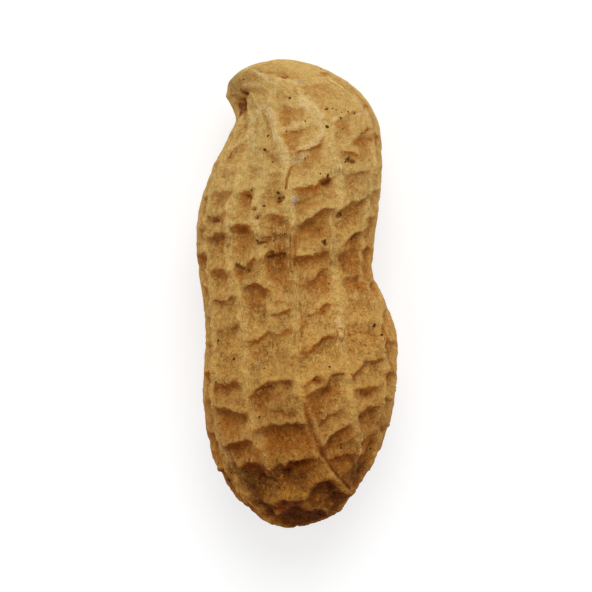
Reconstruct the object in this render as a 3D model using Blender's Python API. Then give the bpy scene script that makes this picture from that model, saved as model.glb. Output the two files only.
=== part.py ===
"""A peanut in its closed shell, lying on its side.

The pod grew as one piece, so it is one solid: two plump lobes with a shallow waist between them,
a rounded base where the stalk was, and a blunt beak hooked over to one side at the other end.
Long ribs run from the base to the beak. Short cross ridges join them into a raised net, and the
net stands round sunken cells.

+Y runs from the base to the beak, +X to the right as seen from above, and +Z up. The origin is on
the surface that the pod lies on, under the middle of its box.
"""

import bpy
import numpy as np

MM = 0.001

# Driving sizes, in millimetres. Everything is drawn on a pod of the drawn length and then scaled.
POD_LENGTH = 42.0
DRAWN_LENGTH = 42.0
NET_DEPTH = 0.75
RIB_CREST, RIB_SIDE = 0.32, 0.85
RIDGE_CREST, RIDGE_BEAK_SIDE, RIDGE_BASE_SIDE = 0.15, 1.5, 0.8
REST_SINK = 0.4

# The outline seen from above, as pairs of points across the pod from the base to the tip of the
# beak: (left x, left y), (right x, right y), in millimetres.
OUTLINE = [
    ((0.1, -21.0), (0.1, -21.0)),
    ((-1.6, -20.8), (1.7, -20.6)),
    ((-3.85, -19.65), (3.95, -19.4)),
    ((-5.8, -17.7), (5.55, -17.35)),
    ((-7.25, -15.2), (6.95, -15.1)),
    ((-8.05, -12.4), (8.15, -12.3)),
    ((-8.4, -9.55), (8.75, -9.55)),
    ((-8.3, -6.5), (9.0, -6.7)),
    ((-8.15, -3.85), (8.95, -3.95)),
    ((-8.4, -1.0), (8.05, -1.05)),
    ((-8.75, 1.9), (6.85, 1.7)),
    ((-9.0, 4.75), (6.9, 4.5)),
    ((-8.7, 7.75), (7.35, 7.4)),
    ((-7.6, 11.1), (7.6, 10.35)),
    ((-6.25, 13.75), (7.6, 13.25)),
    ((-5.5, 15.35), (6.95, 16.15)),
    ((-5.65, 16.35), (4.9, 18.7)),
    ((-6.05, 17.15), (1.8, 20.3)),
    ((-6.3, 17.55), (-1.6, 20.95)),
    ((-6.25, 18.15), (-4.55, 20.2)),
    ((-6.0, 19.05), (-6.0, 19.05)),
]

# Half the pod's height over half its width, along the pod: the waist is drawn in from above too.
HEIGHT_AT = [0.0, 8.0, 16.0, 24.0, 31.0, 38.0, 44.0, 51.0]
HEIGHT_SHARE = [1.0, 0.95, 0.93, 0.86, 0.92, 0.95, 1.0, 1.0]

# The scar where the stalk was sits off the drawn end, below it and to the right: how far away, at
# which angle round the pod, and how far from the scar the ribs have swung back to the pod's axis.
SCAR_ALONG = 5.0
SCAR_ANGLE = -55.0
SCAR_REACH = 16.0

# Where the six drawn ribs lie, in degrees from the right-hand edge over the top, at places given in
# millimetres from the scar. The third one dies out at the waist. The other ribs share the underside.
RIB_PLACES = [0, 4, 7, 10, 13, 16, 20, 24, 28, 32, 36, 38, 40, 42, 44, 46, 48, 51]
RIB_ANGLES = [
    [136, 139, 143, 148, 152, 155, 155, 154, 153, 155, 157, 158, 159, 160, 158, 156, 155, 150],
    [94, 98, 104, 111, 117, 122, 126, 127, 129, 129, 129, 131, 136, 139, 140, 139, 138, 136],
    [74, 76, 86, 94, 99, 104, 110, 107, 106, 109, 113, 120, 126, 129, 128, 125, 124, 122],
    [48, 50, 56, 74, 80, 89, 95, 88, 85, 88, 97, 104, 114, 117, 113, 107, 106, 106],
    [28, 34, 44, 47, 51, 58, 65, 61, 55, 57, 62, 69, 74, 84, 90, 88, 87, 88],
    [6, 8, 12, 18, 24, 28, 29, 28, 28, 29, 27, 27, 30, 34, 43, 53, 60, 68],
]
FADING_RIB = 2
FADING_RIB_FROM, FADING_RIB_TO = 27.0, 23.5
UNDER_COLUMNS = 9

# The cross ridges between each two drawn ribs, from the left-hand column to the right-hand one:
# (place on the left rib, place on the right rib, height), with places in millimetres from the scar.
CROSS_RIDGES = [
    [(5.4, 6.0, 0.7), (8.0, 8.3, 1), (10.4, 10.9, 1), (12.6, 12.8, 1), (15.0, 15.1, 1),
     (16.9, 17.6, 1), (19.6, 19.7, 0.7), (22.4, 22.6, 1), (25.0, 25.0, 0.8), (27.8, 28.2, 1),
     (30.3, 30.8, 1), (32.2, 32.3, 1), (34.3, 34.6, 1), (36.2, 36.4, 0.7), (37.9, 38.6, 1),
     (41.4, 41.4, 0.8), (44.4, 44.2, 0.6)],
    [(5.7, 5.6, 0.7), (8.2, 8.1, 1), (11.0, 11.0, 1), (13.8, 13.6, 1), (15.1, 15.1, 0.6),
     (16.6, 17.4, 1), (21.0, 21.9, 1), (23.3, 23.8, 0.6), (25.4, 26.1, 1), (27.9, 28.6, 1),
     (31.3, 31.4, 1), (34.6, 34.8, 1), (36.3, 36.7, 0.8), (38.2, 38.8, 1), (41.2, 41.3, 0.7),
     (43.9, 43.6, 0.8)],
    [(5.6, 5.9, 0.7), (7.9, 9.2, 1), (11.0, 11.2, 1), (13.6, 13.5, 1), (15.1, 15.1, 1),
     (17.4, 17.8, 1), (21.8, 22.4, 1), (23.8, 24.2, 0.9), (25.9, 26.2, 0.8), (28.9, 29.0, 1),
     (30.6, 30.6, 0.8), (32.2, 32.3, 1), (34.0, 34.2, 0.5), (35.8, 35.9, 0.7), (37.4, 37.2, 0.6),
     (39.7, 39.6, 0.8), (41.8, 42.0, 0.8), (44.8, 44.2, 0.7)],
    [(6.0, 6.2, 0.7), (9.0, 8.8, 1), (10.8, 11.2, 1), (12.3, 13.7, 1), (14.1, 15.0, 1),
     (17.2, 18.4, 1), (19.7, 21.5, 1), (22.8, 23.6, 0.8), (25.3, 25.8, 0.6), (26.5, 27.2, 0.8),
     (28.6, 29.2, 1), (31.2, 32.7, 1), (34.6, 36.2, 1), (37.0, 39.4, 1), (39.9, 41.2, 1),
     (43.0, 42.4, 1), (46.0, 45.6, 0.6)],
    [(6.2, 6.4, 0.7), (8.4, 8.3, 1), (11.1, 10.8, 1), (12.5, 12.6, 1), (14.7, 15.1, 1),
     (16.6, 17.1, 1), (18.3, 19.4, 1), (20.6, 20.6, 0.7), (22.5, 22.8, 0.6), (24.4, 24.8, 0.7),
     (26.5, 27.0, 0.8), (28.6, 29.6, 1), (30.2, 31.0, 1), (32.6, 34.4, 1), (35.8, 36.4, 0.8),
     (38.0, 38.2, 0.9), (39.8, 40.2, 1), (42.0, 42.2, 0.9), (44.6, 44.6, 0.6)],
]

# The underside's cross ridges follow a rule, with seeded draws.
UNDER_FIRST, UNDER_LAST, UNDER_STEP = 4.5, 46.0, 2.7
UNDER_STEP_SPREAD, UNDER_SLANT_SPREAD = 0.45, 0.5
SEED = 12

# The net is deepest on the lobe at the base and dies out at both ends. The shoulder above the
# other lobe is smoother: its place, its angle, its half-sizes in each, and the depth it loses.
DEPTH_AT = [0.0, 2.5, 6.0, 10.0, 16.0, 24.0, 34.0, 40.0, 46.0, 51.0]
DEPTH_SHARE = [0.0, 0.5, 1.1, 1.3, 1.2, 1.0, 1.05, 0.9, 0.6, 0.0]
SHOULDER_PLACE, SHOULDER_ANGLE = 40.0, 60.0
SHOULDER_LENGTH, SHOULDER_SPREAD = 6.0, 40.0
SHOULDER_LOSS = 0.5

# The hollow in the bend below the beak: centre, half-sizes across and along, and depth.
HOLLOW_CENTRE = (-5.1, 17.0)
HOLLOW_HALF_SIZE = (0.75, 1.3)
HOLLOW_DEPTH = 1.1

# The mesh: rows along the pod, and the lines across each column of cells, as shares of its width.
# The last line of one column and the first of the next bound the flat top of a rib.
ROWS = 92
COLUMN_LINES = np.array([0.1, 0.37, 0.63, 0.9])

SHELL_COLOUR = (0.52, 0.31, 0.10, 1.0)
SHELL_ROUGHNESS = 0.8


def smooth(knots, values, at):
    """A curve through the values at the knots, read at the places given. It is made of cubic
    pieces that share their slopes where they meet."""
    knots = np.asarray(knots, float)
    values = np.asarray(values, float)
    at = np.asarray(at, float)
    slopes = np.gradient(values, knots, axis=0)
    i = np.clip(np.searchsorted(knots, at) - 1, 0, len(knots) - 2)
    span = knots[i + 1] - knots[i]
    f = (at - knots[i]) / span
    if values.ndim > 1:
        f, span = f[..., None], span[..., None]
    start = (1 + 2 * f) * (1 - f) ** 2 * values[i] + f * (1 - f) ** 2 * span * slopes[i]
    end = f**2 * (3 - 2 * f) * values[i + 1] - f**2 * (1 - f) * span * slopes[i + 1]
    return start + end


def smooth_step(value):
    """0 below 0, 1 above 1, and an even slope between."""
    f = np.clip(value, 0, 1)
    return f * f * (3 - 2 * f)


def raised(distance, crest, side):
    """The height of a rounded ridge at a distance from its middle: 1 on its crest, 0 past its
    side."""
    return 1 - smooth_step((np.abs(distance) - crest) / side)


def rails(station):
    """The left and right edge of the pod at each station. The outline is one closed curve, so it
    runs smoothly round both ends."""
    left = np.array([pair[0] for pair in OUTLINE])
    right = np.array([pair[1] for pair in OUTLINE])
    last = len(OUTLINE) - 1
    loop = np.concatenate([right[-3:-1], left[::-1], right[1:], left[-2:-4:-1]])
    knots = np.arange(-last - 2, last + 3)
    return smooth(knots, loop, -station), smooth(knots, loop, station)


def stations_by_place():
    """A fine list of places along the pod, in millimetres, and the station at each."""
    station = np.linspace(0, len(OUTLINE) - 1, 2001)
    left, right = rails(station)
    steps = sum(np.hypot(*np.diff(edge, axis=0).T) for edge in (left, right)) / 2
    return np.concatenate([[0], np.cumsum(steps)]), station


def rib_angles(places):
    """The angle of every rib at each place, in radians, as one row for each place. The last
    column repeats the first rib a full turn further on."""
    drawn = np.array([smooth(RIB_PLACES, angles, places) for angles in RIB_ANGLES])
    first, last = drawn[0] - 360, drawn[-1]
    shares = np.arange(1, UNDER_COLUMNS) / UNDER_COLUMNS
    under = np.array([last + (first - last) * share for share in shares])
    return np.radians(np.vstack([drawn, under, first[None]])).T


def under_ridges():
    """Cross ridges for the columns of the underside, column by column."""
    draw = np.random.default_rng(SEED)
    columns = []
    for _ in range(UNDER_COLUMNS):
        place = UNDER_FIRST + UNDER_STEP * draw.random()
        ridges = []
        while place < UNDER_LAST:
            slant = UNDER_SLANT_SPREAD * draw.uniform(-1, 1)
            ridges.append((place - slant, place + slant, draw.uniform(0.7, 1.0)))
            place += UNDER_STEP + UNDER_STEP_SPREAD * draw.uniform(-1, 1)
        columns.append(ridges)
    return columns


def net_height(places, angles, radius):
    """The height of the net over the floor of its cells, from 0 to 1, as one row for each place
    and one column for each mesh line round the pod."""
    columns = CROSS_RIDGES + under_ridges()
    strength = np.ones((len(places), len(columns) + 1))
    fading = (places - FADING_RIB_TO) / (FADING_RIB_FROM - FADING_RIB_TO)
    strength[:, FADING_RIB] = smooth_step(fading)
    heights = []
    for column, ridges in enumerate(columns):
        width = (angles[:, column] - angles[:, column + 1]) * radius
        floor = np.ones((len(places), len(COLUMN_LINES)))
        for rib, share in ((column, COLUMN_LINES), (column + 1, 1 - COLUMN_LINES)):
            rise = raised(width[:, None] * share, RIB_CREST, RIB_SIDE)
            floor *= 1 - strength[:, rib, None] * rise
        for on_left, on_right, height in ridges:
            away = places[:, None] - (on_left + (on_right - on_left) * COLUMN_LINES)
            side = np.where(away > 0, RIDGE_BEAK_SIDE, RIDGE_BASE_SIDE)
            floor *= 1 - height * raised(away, RIDGE_CREST, side)
        heights.append(1 - floor)
    return np.hstack(heights)


def mesh_angles(angles):
    """The angle of each mesh line round the pod."""
    step = np.diff(angles, axis=1)
    lines = angles[:, :-1, None] + step[:, :, None] * COLUMN_LINES
    return lines.reshape(len(angles), -1)


def off_the_scar(places, angles):
    """The place along the pod and the angle round it of points that are given by their distance
    and direction from the stalk's scar."""
    shift = SCAR_ALONG * (1 - smooth_step(places / SCAR_REACH))
    turn = np.radians(SCAR_ANGLE)
    across = places * np.cos(angles) + shift * np.cos(turn)
    up = places * np.sin(angles) + shift * np.sin(turn)
    return np.hypot(across, up), np.arctan2(up, across)


def smooth_pod(places, angles):
    """Points of the pod without its net: each section is an oval from edge to edge, flatter than
    it is wide. The pod's axis is straight, and both lobes reach the same level below."""
    along, station = stations_by_place()

    def half_height(left, right, at):
        return np.linalg.norm(right - left, axis=-1) / 2 * smooth(HEIGHT_AT, HEIGHT_SHARE, at)

    left, right = rails(station)
    height, length = half_height(left, right, along), (left + right)[:, 1] / 2
    lobes = [np.argmax(np.where(side, height, 0)) for side in (length < 0, length > 0)]
    slope, level = np.polyfit(length[lobes], height[lobes], 1)
    left, right = rails(np.interp(places, along, station))
    plan = (left + right) / 2 + (right - left) / 2 * np.cos(angles)[..., None]
    rise = half_height(left, right, places) * np.sin(angles)
    return np.dstack([plan, level + slope * plan[..., 1] + rise]), rise


def surface():
    """The pod's points in millimetres, row by row from the scar to the tip of the beak."""
    along, _ = stations_by_place()
    places = np.linspace(0, along[-1], ROWS + 1)
    angles = rib_angles(places)
    lines = mesh_angles(angles)
    at, turned = off_the_scar(places[:, None], lines)
    points, rise = smooth_pod(at, turned)
    radius = np.linalg.norm(points - points.mean(1, keepdims=True), axis=-1).mean(1)
    net = net_height(places, angles, radius)
    beside = (np.degrees(lines) - SHOULDER_ANGLE) / SHOULDER_SPREAD
    above = (places[:, None] - SHOULDER_PLACE) / SHOULDER_LENGTH
    share = smooth(DEPTH_AT, DEPTH_SHARE, places)[:, None]
    share = share * (1 - SHOULDER_LOSS * np.exp(-(beside**2) - above**2))
    depth = NET_DEPTH * share * (1 - net)
    offset = (points[..., :2] - HOLLOW_CENTRE) / HOLLOW_HALF_SIZE
    depth += HOLLOW_DEPTH * np.exp(-(offset**2).sum(-1)) * (rise > 0)
    points -= depth[..., None] * outward(points)
    points[..., 2] = np.maximum(points[..., 2] - REST_SINK, 0)
    return points


def outward(points):
    """The unit normals of the rows of points."""
    along = np.gradient(points, axis=0)
    around = (np.roll(points, -1, 1) - np.roll(points, 1, 1)) / 2
    normal = np.cross(around, along)
    length = np.linalg.norm(normal, axis=-1, keepdims=True)
    return normal / np.where(length > 0, length, 1)


def pod_mesh():
    """One closed mesh over the rows, with a fan of triangles at each end."""
    rows = surface()
    ends, rows = rows[[0, -1], 0], rows[1:-1]
    count, around = rows.shape[:2]
    points = np.vstack([ends[:1], rows.reshape(-1, 3), ends[1:]])
    points[:, :2] -= (points.min(0) + points.max(0))[:2] / 2
    points *= MM * POD_LENGTH / DRAWN_LENGTH
    corner = 1 + np.arange(count * around).reshape(count, around)
    beside = np.roll(corner, -1, 1)
    tip = len(points) - 1
    faces = [(0, b, a) for a, b in zip(corner[0], beside[0])]
    for row in range(count - 1):
        quads = (corner[row], beside[row], beside[row + 1], corner[row + 1])
        faces += [tuple(quad) for quad in zip(*quads)]
    faces += [(tip, a, b) for a, b in zip(corner[-1], beside[-1])]
    mesh = bpy.data.meshes.new("peanut_pod")
    mesh.from_pydata(points.tolist(), [], [[int(i) for i in face] for face in faces])
    mesh.shade_smooth()
    return mesh


def shell_material():
    material = bpy.data.materials.new("peanut_shell")
    material.use_nodes = True
    shader = material.node_tree.nodes["Principled BSDF"]
    shader.inputs["Base Color"].default_value = SHELL_COLOUR
    shader.inputs["Roughness"].default_value = SHELL_ROUGHNESS
    return material


def main():
    for old in list(bpy.data.objects):
        bpy.data.objects.remove(old)
    pod = bpy.data.objects.new("peanut_pod", pod_mesh())
    pod.data.materials.append(shell_material())
    bpy.context.scene.collection.objects.link(pod)


main()
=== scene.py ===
import bpy
import numpy as np
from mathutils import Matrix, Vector


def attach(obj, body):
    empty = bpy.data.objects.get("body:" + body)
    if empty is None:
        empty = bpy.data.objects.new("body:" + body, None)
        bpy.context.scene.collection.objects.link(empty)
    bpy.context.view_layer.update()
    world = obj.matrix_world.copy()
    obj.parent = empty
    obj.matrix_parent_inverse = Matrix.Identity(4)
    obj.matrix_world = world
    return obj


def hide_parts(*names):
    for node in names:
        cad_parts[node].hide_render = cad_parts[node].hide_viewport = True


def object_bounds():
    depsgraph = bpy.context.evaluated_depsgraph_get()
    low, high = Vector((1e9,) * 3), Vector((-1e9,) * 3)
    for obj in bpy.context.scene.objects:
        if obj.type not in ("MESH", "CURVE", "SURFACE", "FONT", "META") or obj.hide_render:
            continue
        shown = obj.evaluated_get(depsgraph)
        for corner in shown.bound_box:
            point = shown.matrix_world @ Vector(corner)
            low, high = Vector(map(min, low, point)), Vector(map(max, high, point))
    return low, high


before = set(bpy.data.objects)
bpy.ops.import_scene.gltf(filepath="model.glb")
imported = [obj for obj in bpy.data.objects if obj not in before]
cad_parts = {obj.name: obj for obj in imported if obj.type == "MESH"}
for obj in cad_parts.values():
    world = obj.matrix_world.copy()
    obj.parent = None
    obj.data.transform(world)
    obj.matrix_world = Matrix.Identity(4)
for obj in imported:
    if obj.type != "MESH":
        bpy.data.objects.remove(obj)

packed_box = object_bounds()


# The shell: a two-lobed pod of dry fibre that grew as one closed piece, with a hooked beak and a
# net of raised cords. It is drawn as ovals between two edges seen from above, and lies on small
# flats worn on its lower ribs. Lengths are in millimetres, and angles in degrees.
MM = 0.001
# The left and the right edge, as points across and along the pod, from the stalk end to the beak.
OUTLINE = [
    ((0.1, -21.0), (0.1, -21.0)),
    ((-1.6, -20.8), (1.7, -20.6)),
    ((-3.85, -19.65), (3.95, -19.4)),
    ((-5.8, -17.7), (5.55, -17.35)),
    ((-7.25, -15.2), (6.95, -15.1)),
    ((-8.05, -12.4), (8.15, -12.3)),
    ((-8.4, -9.55), (8.75, -9.55)),
    ((-8.3, -6.5), (9.0, -6.7)),
    ((-8.15, -3.85), (8.95, -3.95)),
    ((-8.4, -1.0), (8.05, -1.05)),
    ((-8.75, 1.9), (6.85, 1.7)),
    ((-9.0, 4.75), (6.9, 4.5)),
    ((-8.7, 7.75), (7.35, 7.4)),
    ((-7.6, 11.1), (7.6, 10.35)),
    ((-6.25, 13.75), (7.6, 13.25)),
    ((-5.5, 15.35), (6.95, 16.15)),
    ((-5.65, 16.35), (4.9, 18.7)),
    ((-6.05, 17.15), (1.8, 20.3)),
    ((-6.3, 17.55), (-1.6, 20.95)),
    ((-6.25, 18.15), (-4.55, 20.2)),
    ((-6.0, 19.05), (-6.0, 19.05)),
]
# The height as a share of the width, at places along the pod.
HEIGHT_AT = [0, 8, 16, 24, 31, 38, 44, 51]
HEIGHT_SHARE = [1, 0.95, 0.93, 0.86, 0.92, 0.95, 1, 1]
REST_SINK = 0.4
SCAR_ALONG, SCAR_ANGLE, SCAR_REACH = 5.0, -55.0, 16.0
# The angle of each drawn rib, at places along the pod.
RIB_PLACES = [0, 4, 7, 10, 13, 16, 20, 24, 28, 32, 36, 38, 40, 42, 44, 46, 48, 51]
RIB_ANGLES = [
    [136, 139, 143, 148, 152, 155, 155, 154, 153, 155, 157, 158, 159, 160, 158, 156, 155, 150],
    [94, 98, 104, 111, 117, 122, 126, 127, 129, 129, 129, 131, 136, 139, 140, 139, 138, 136],
    [74, 76, 86, 94, 99, 104, 110, 107, 106, 109, 113, 120, 126, 129, 128, 125, 124, 122],
    [48, 50, 56, 74, 80, 89, 95, 88, 85, 88, 97, 104, 114, 117, 113, 107, 106, 106],
    [28, 34, 44, 47, 51, 58, 65, 61, 55, 57, 62, 69, 74, 84, 90, 88, 87, 88],
    [6, 8, 12, 18, 24, 28, 29, 28, 28, 29, 27, 27, 30, 34, 43, 53, 60, 68],
]
DRAWN_COLUMNS = len(RIB_ANGLES) - 1
UNDER_COLUMNS = 9
ROWS, DRAWN_LINES, UNDER_LINES = 334, 32, 15
OUTLINE_SAMPLES = 2001
UPPER_SHARPNESS = 2.5


def smooth(knots, values, at):
    """Cubic pieces through the values at the knots, which share their slopes where they meet."""
    knots, values, at = (np.asarray(given, float) for given in (knots, values, at))
    slopes = np.gradient(values, knots, axis=0)
    i = np.clip(np.searchsorted(knots, at) - 1, 0, len(knots) - 2)
    span = knots[i + 1] - knots[i]
    f = (at - knots[i]) / span
    if values.ndim > 1:
        f, span = f[..., None], span[..., None]
    start = (1 + 2 * f) * (1 - f) ** 2 * values[i] + f * (1 - f) ** 2 * span * slopes[i]
    end = f**2 * (3 - 2 * f) * values[i + 1] - f**2 * (1 - f) * span * slopes[i + 1]
    return start + end


def smooth_step(value):
    """0 below 0, 1 above 1, and an even slope between: 3f^2 - 2f^3."""
    f = np.clip(value, 0, 1)
    return f * f * (3 - 2 * f)


def rails(station):
    """The pod's left and right edge, as one smooth closed curve that runs round both ends."""
    left = np.array([pair[0] for pair in OUTLINE])
    right = np.array([pair[1] for pair in OUTLINE])
    last = len(OUTLINE) - 1
    loop = np.concatenate([right[-3:-1], left[::-1], right[1:], left[-2:-4:-1]])
    knots = np.arange(-last - 2, last + 3)
    return smooth(knots, loop, -station), smooth(knots, loop, station)


def stations_by_place():
    """Places along the pod, which are the mean length of both edges so far, and their stations."""
    station = np.linspace(0, len(OUTLINE) - 1, OUTLINE_SAMPLES)
    left, right = rails(station)
    steps = sum(np.hypot(*np.diff(edge, axis=0).T) for edge in (left, right)) / 2
    return np.concatenate([[0], np.cumsum(steps)]), station


def rib_angles(places):
    """The angle of each rib at each place. The drawn ribs follow their lists, and the ribs of the
    underside share the rest of the turn evenly."""
    drawn = np.array([smooth(RIB_PLACES, angles, places) for angles in RIB_ANGLES])
    first, last = drawn[0] - 360, drawn[-1]
    shares = np.arange(1, UNDER_COLUMNS) / UNDER_COLUMNS
    under = np.array([last + (first - last) * share for share in shares])
    return np.radians(np.vstack([drawn, under, first[None]])).T


def off_the_scar(places, angles):
    """From distance and direction off the stalk's scar to the place along the pod and the angle
    round it: a shift of polar coordinates that dies out with the distance."""
    shift = SCAR_ALONG * (1 - smooth_step(places / SCAR_REACH))
    turn = np.radians(SCAR_ANGLE)
    across = places * np.cos(angles) + shift * np.cos(turn)
    up = places * np.sin(angles) + shift * np.sin(turn)
    return np.hypot(across, up), np.arctan2(up, across)


def smooth_pod(places, angles):
    """Centre of the section + half its width x cosine across, and half its height x sine up, round
    an axis that lies at one level under both lobes."""
    along, station = stations_by_place()

    def half_height(left, right, at):
        """Half the distance between the edges x the share at that place."""
        return np.linalg.norm(right - left, axis=-1) / 2 * smooth(HEIGHT_AT, HEIGHT_SHARE, at)

    left, right = rails(station)
    height, length = half_height(left, right, along), (left + right)[:, 1] / 2
    lobes = [np.argmax(np.where(side, height, 0)) for side in (length < 0, length > 0)]
    slope, level = np.polyfit(length[lobes], height[lobes], 1)
    left, right = rails(np.interp(places, along, station))
    plan = (left + right) / 2 + (right - left) / 2 * np.cos(angles)[..., None]
    rise = half_height(left, right, places) * np.sin(angles)
    return np.dstack([plan, level + slope * plan[..., 1] + rise])


def outward(points):
    """The unit normals of a closed surface given row by row: round the row x along the rows."""
    along = np.gradient(points, axis=0)
    around = (np.roll(points, -1, 1) - np.roll(points, 1, 1)) / 2
    normal = np.cross(around, along)
    length = np.linalg.norm(normal, axis=-1, keepdims=True)
    return normal / np.where(length > 0, length, 1)


pod_length = stations_by_place()[0][-1]
places = np.linspace(0, pod_length, ROWS + 1)[:, None]
ribs = rib_angles(places[:, 0])
line_counts = [DRAWN_LINES] * DRAWN_COLUMNS + [UNDER_LINES] * UNDER_COLUMNS
column = np.repeat(np.arange(len(line_counts)), line_counts)
share = np.concatenate([np.arange(count) / count for count in line_counts])
lines = ribs[:, column] * (1 - share) + ribs[:, column + 1] * share
along, turned = off_the_scar(places, lines)
pod = smooth_pod(along, turned)
degrees = np.degrees(turned)
radius = np.linalg.norm(pod - pod.mean(1, keepdims=True), axis=-1).mean(1)[:, None]
upper = smooth_step(UPPER_SHARPNESS * np.sin(turned))

# The shell's net: cords of fibre run along the pod as ribs, and shorter ones cross between them,
# round sunken cells. A cross ridge falls off steeply on its base side and gently on its beak side.
NET_DEPTH = 0.72
RIB_CREST, RIB_SIDE, RIB_HEIGHT = 0.3, 0.7, 0.9
RIB_STRENGTH, RIB_UNEVEN, RIB_UNEVEN_LENGTH, RIB_APART = 0.82, 0.3, 2.6, 3.7
# How much less stain and painted shade lies on the ribs.
RIB_SHADE_AND_STAIN_LOSS = 0.6
FADING_RIB, FADING_RIB_FROM, FADING_RIB_TO = 2, 27.0, 23.5
BASE_RIBS_FROM, BASE_RIBS_FADE = 8.0, 5.0
SEAM_CREST, SEAM_SIDE, SEAM_HEIGHT = 0.9, 1.3, 0.8
CORD_CREST, CORD_SIDE, CORD_SIDE_MORE, CORD_PALENESS = 0.18, 0.26, 0.2, 0.95
CORD_WIDENS_FROM, CORD_WIDENS_OVER, CORD_FADES_FROM, CORD_FADES_OVER = 30, 8, 42, 4
RIDGE_CREST, RIDGE_BEAK_SIDE, RIDGE_BEAK_CURVE, RIDGE_BASE_SIDE = 0.1, 2.2, 1.3, 0.7
RIDGE_END_FADE, BASE_RIDGE_END_FADE, RIDGE_END_START = 5.0, 0.5, 0.3
BASE_RIDGE_WAVE = 0.5
LEAN_STEP = 2.0
# Below each cross ridge lie red-brown stain and painted shade: where they start, how soon they are full,
# their strength over the floor and how they thin out; then the dark line of painted shadow just under the
# crest, and the painted highlight of the pale lip on the crest's lit side.
SHADE_AND_STAIN_START, SHADE_AND_STAIN_EDGE, FLOOR_SHADE_AND_STAIN, SHADE_AND_STAIN_FALL = 0.1, 0.2, 0.75, 1.5
DARK_LINE, DARK_LINE_AT, DARK_LINE_WIDTH = 0.5, 0.15, 0.2
LIP_HIGHLIGHT, LIP_AT, LIP_WIDTH = 0.4, 0.12, 0.16
SHOULDER_PLACE, SHOULDER_ANGLE, SHOULDER_LOSS = 40.0, 60.0, 0.5
SHOULDER_LENGTH, SHOULDER_SPREAD = 6.0, 40.0
# The hollow under the beak's tip: its middle, half sizes, depth, and its red-brown stain with painted
# shade.
HOLLOW_CENTRE, HOLLOW_HALF_SIZE = (-5.3, 16.8), (0.8, 1.2)
HOLLOW_DEPTH, HOLLOW_SHADE_AND_STAIN = 0.16, 0.25
UNDER_FIRST, UNDER_LAST, UNDER_STEP = 4.5, 46.0, 2.7
UNDER_STEP_SPREAD, UNDER_SLANT_SPREAD = 0.45, 0.5
UNDER_HEIGHTS = (0.7, 1.0)
UNDER_SEED, RIB_SEED, FIBRE_SEED = 12, 13, 11
END_FADE, SCAR_FADE = 3, 2
GROOVE_END_FADE, FULL_WAVER_WIDTH = 0.4, 0.35
FIBRES_ROUND, FIBRE_LENGTH, FIBRE_DEPTH = 224, 2.2, 0.035
ROUGH_SHARE, STALK_ROUGHER, BEAK_SMOOTHER = 1.15, 0.6, 0.4
STALK_ROUGH_TO, BEAK_SMOOTH_FROM, ROUGH_CHANGE = 13, 34, 6
EDGE_WIDTH, EDGE_SMOOTHER = 1.6, 0.6

# How deep the cells are, how pale the shell is and how far the stain and painted shade reach, at
# places along the pod.
DEPTH_AT = [0, 2.5, 6, 10, 16, 20, 24, 28, 32, 36, 40, 46, 51]
DEPTH_SHARE = [0, 0.5, 0.9, 1.15, 1.15, 0.6, 0.65, 1, 0.95, 0.5, 0.37, 0.25, 0]
PALE_AT = [0, 15, 18, 24, 26.5, 33, 36, 51]
PALE_AMOUNT = [0, 0, 0.4, 0.4, 0, 0, 0.3, 0.45]
SHADE_AND_STAIN_AT = [0, 12, 17, 20, 24, 27, 33, 37, 51]
SHADE_AND_STAIN_REACH = [1.1, 1, 0.8, 0.45, 0.5, 1.05, 1, 0.6, 0.5]

# Layers of smooth lumps over the pod: the amount, the size and the seed of each.
RAGGED = [(0.16, 0.42, 12)]
RIB_SWAY = [(0.22, 1.6, 3), (0.16, 0.8, 4)] + RAGGED
RIDGE_WAVE = [(0.28, 1.7, 5), (0.22, 0.8, 6)] + RAGGED
RIB_THICKNESS = [(0.3, 3.0, 7)]
SHADE_AND_STAIN_SWAY = [(0.55, 2.4, 21), (0.5, 0.9, 23)]
LINE_WAVER = [(0.12, 0.5, 14), (0.15, 1.1, 15)]
ROUGHNESS = [(0.09, 1.4, 8), (0.07, 0.75, 9), (0.06, 0.42, 10)]
CREASES, CREASE_LEVEL = [(0.24, 1.15, 18), (0.2, 0.6, 19)], 0.3
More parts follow.
